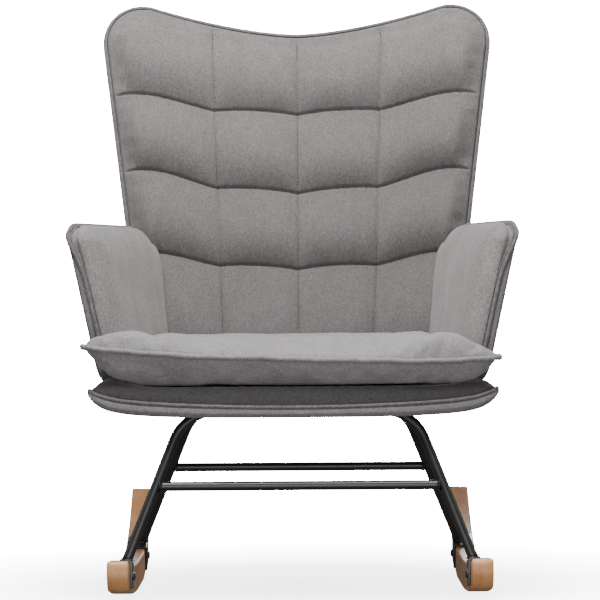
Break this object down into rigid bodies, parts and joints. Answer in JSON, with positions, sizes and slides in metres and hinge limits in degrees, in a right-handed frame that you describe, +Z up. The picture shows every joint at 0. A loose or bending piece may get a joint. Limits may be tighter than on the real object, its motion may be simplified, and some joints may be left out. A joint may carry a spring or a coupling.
{
  "type": "rocking chair",
  "caption": "Wingback upholstered rocking chair with a quilted back, padded arms, loose seat cushion, tube steel base and curved wooden rockers.",
  "frame": {"origin": "on the floor, at the middle of the chair's box", "axes": "+Z up, -Y toward the front of the seat, +X to the right in a front view"},
  "size_m": [0.6982, 0.715, 0.975],
  "materials": {
    "velvet": "matte",
    "piping": "matte",
    "dust_cloth": "matte",
    "beech": "satin",
    "plywood": "matte",
    "black_steel": "satin",
    "black_bolt": "satin",
    "zinc_steel": "satin"
  },
  "bodies": {
    "frame": {"rocker_bracket_front_left": "black_steel", "rocker_bolt_front_left": "black_bolt", "rocker_bracket_rear_left": "black_steel", "rocker_bolt_rear_left": "black_bolt", "seat_bolt_front_left": "black_bolt", "seat_bolt_rear_left": "black_bolt", "arm_bolt_front_left": "black_bolt", "arm_bolt_rear_left": "black_bolt", "back_bolt_upper_left": "black_bolt", "back_bolt_lower_left": "black_bolt", "rocker_bracket_front_right": "black_steel", "rocker_bolt_front_right": "black_bolt", "rocker_bracket_rear_right": "black_steel", "rocker_bolt_rear_right": "black_bolt", "seat_bolt_front_right": "black_bolt", "seat_bolt_rear_right": "black_bolt", "arm_bolt_front_right": "black_bolt", "arm_bolt_rear_right": "black_bolt", "back_bolt_upper_right": "black_bolt", "back_bolt_lower_right": "black_bolt", "rocker_left": "beech", "seat_rail_left": "black_steel", "back_bracket_left": "zinc_steel", "arm_board_left": "plywood", "arm_pad_left": "velvet", "arm_shell_left": "velvet", "arm_welt_left": "piping", "rocker_right": "beech", "seat_rail_right": "black_steel", "back_bracket_right": "zinc_steel", "arm_board_right": "plywood", "arm_pad_right": "velvet", "arm_shell_right": "velvet", "arm_welt_right": "piping", "front_hoop": "black_steel", "rear_hoop": "black_steel", "front_crossbar": "black_steel", "rear_crossbar": "black_steel", "seat_board": "plywood", "seat_deck": "velvet", "seat_band": "velvet", "dust_cover": "dust_cloth", "seat_welt": "piping", "back_board": "plywood", "back_pad": "velvet", "back_cover": "velvet", "back_welt": "piping"},
    "cushion": {"seat_cushion": "velvet", "cushion_welt": "piping"}
  },
  "joints": [
    {"name": "cushion_lift", "type": "slide", "parent": "frame", "child": "cushion", "axis": [0, 0, 1], "range_m": [0, 0.3]}
  ]
}
